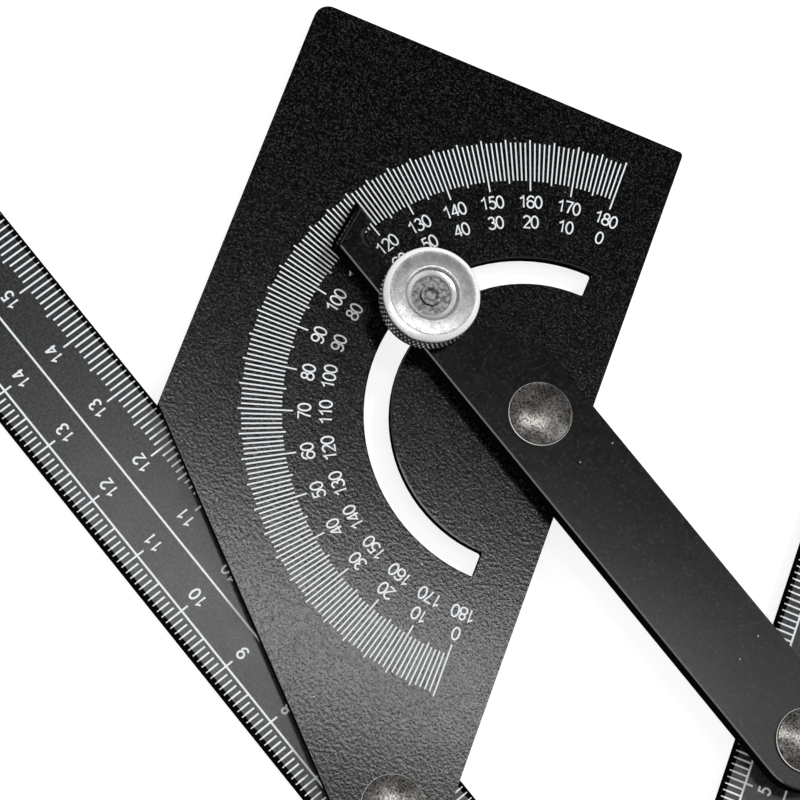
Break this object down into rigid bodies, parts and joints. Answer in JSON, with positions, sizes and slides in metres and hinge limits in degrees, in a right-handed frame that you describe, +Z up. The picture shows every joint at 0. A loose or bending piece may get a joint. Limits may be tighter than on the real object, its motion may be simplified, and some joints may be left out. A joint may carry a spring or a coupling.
{
  "type": "angle ruler",
  "caption": "Hinged angle ruler: flat rules on a rivet, a protractor plate with an arc slot, a parallel pointer arm that reads the angle, and a knurled lock knob.",
  "frame": {"origin": "centre of the apex pivot on the lower rule's underside, which is the scales' zero", "axes": "+X along the lower rule from the apex pivot, +Z up out of the rules' printed faces, +Y towards the lower rule's lined edge"},
  "size_m": [0.2164, 0.1922, 0.0141],
  "materials": {
    "rule_coat": "satin charcoal",
    "plate_coat": "fine textured black coat",
    "arm_coat": "satin black",
    "rivet_nickel": "nickel, lightly scratched",
    "thin_washer": "plain",
    "spacer_fibre": "plain black",
    "plated_steel": "zinc plated",
    "knob_nickel": "bright nickel"
  },
  "bodies": {
    "lower": {"lower_rule": "rule_coat", "apex_rivet": "rivet_nickel", "plate_rivet": "rivet_nickel", "apex_washer": "thin_washer", "plate_washer": "thin_washer"},
    "upper": {"upper_rule": "rule_coat", "arm_washer": "thin_washer"},
    "plate": {"protractor_plate": "plate_coat", "centre_rivet": "rivet_nickel", "centre_washer": "thin_washer", "centre_burr": "plated_steel"},
    "arm": {"pointer_arm": "arm_coat", "arm_rivet": "rivet_nickel", "arm_burr": "plated_steel", "clamp_bolt": "plated_steel", "clamp_back_washer": "plated_steel", "clamp_spacer": "spacer_fibre"},
    "lift": {"clamp_washer": "plated_steel"},
    "knob": {"lock_knob": "knob_nickel", "knob_insert": "plated_steel"}
  },
  "joints": [
    {"name": "rule_hinge", "type": "hinge", "parent": "lower", "child": "upper", "pos_m": [0, 0, 0], "axis": [0, 0, -1], "range_deg": [-42, 102]},
    {"name": "plate_pivot", "type": "hinge", "parent": "lower", "child": "plate", "pos_m": [0.06, 0, 0], "axis": [0, 0, -1], "range_deg": [-43, 103]},
    {"name": "arm_pivot", "type": "hinge", "parent": "plate", "child": "arm", "pos_m": [0.09, -0.05196, 0], "axis": [0, 0, -1], "range_deg": [-103, 43]},
    {"name": "knob_lift", "type": "slide", "parent": "arm", "child": "lift", "axis": [0, 0, 1], "range_m": [0, 0.00075]},
    {"name": "knob_turn", "type": "hinge", "parent": "lift", "child": "knob", "pos_m": [0.11272, -0.04909, 0], "axis": [0, 0, 1], "range_deg": [0, 541]}
  ],
  "couplings": [
    {"joint": "plate_pivot", "follows": "rule_hinge", "ratio": 1},
    {"joint": "arm_pivot", "follows": "rule_hinge", "ratio": -1},
    {"joint": "knob_turn", "follows": "knob_lift", "rad_per_m": 12566}
  ]
}
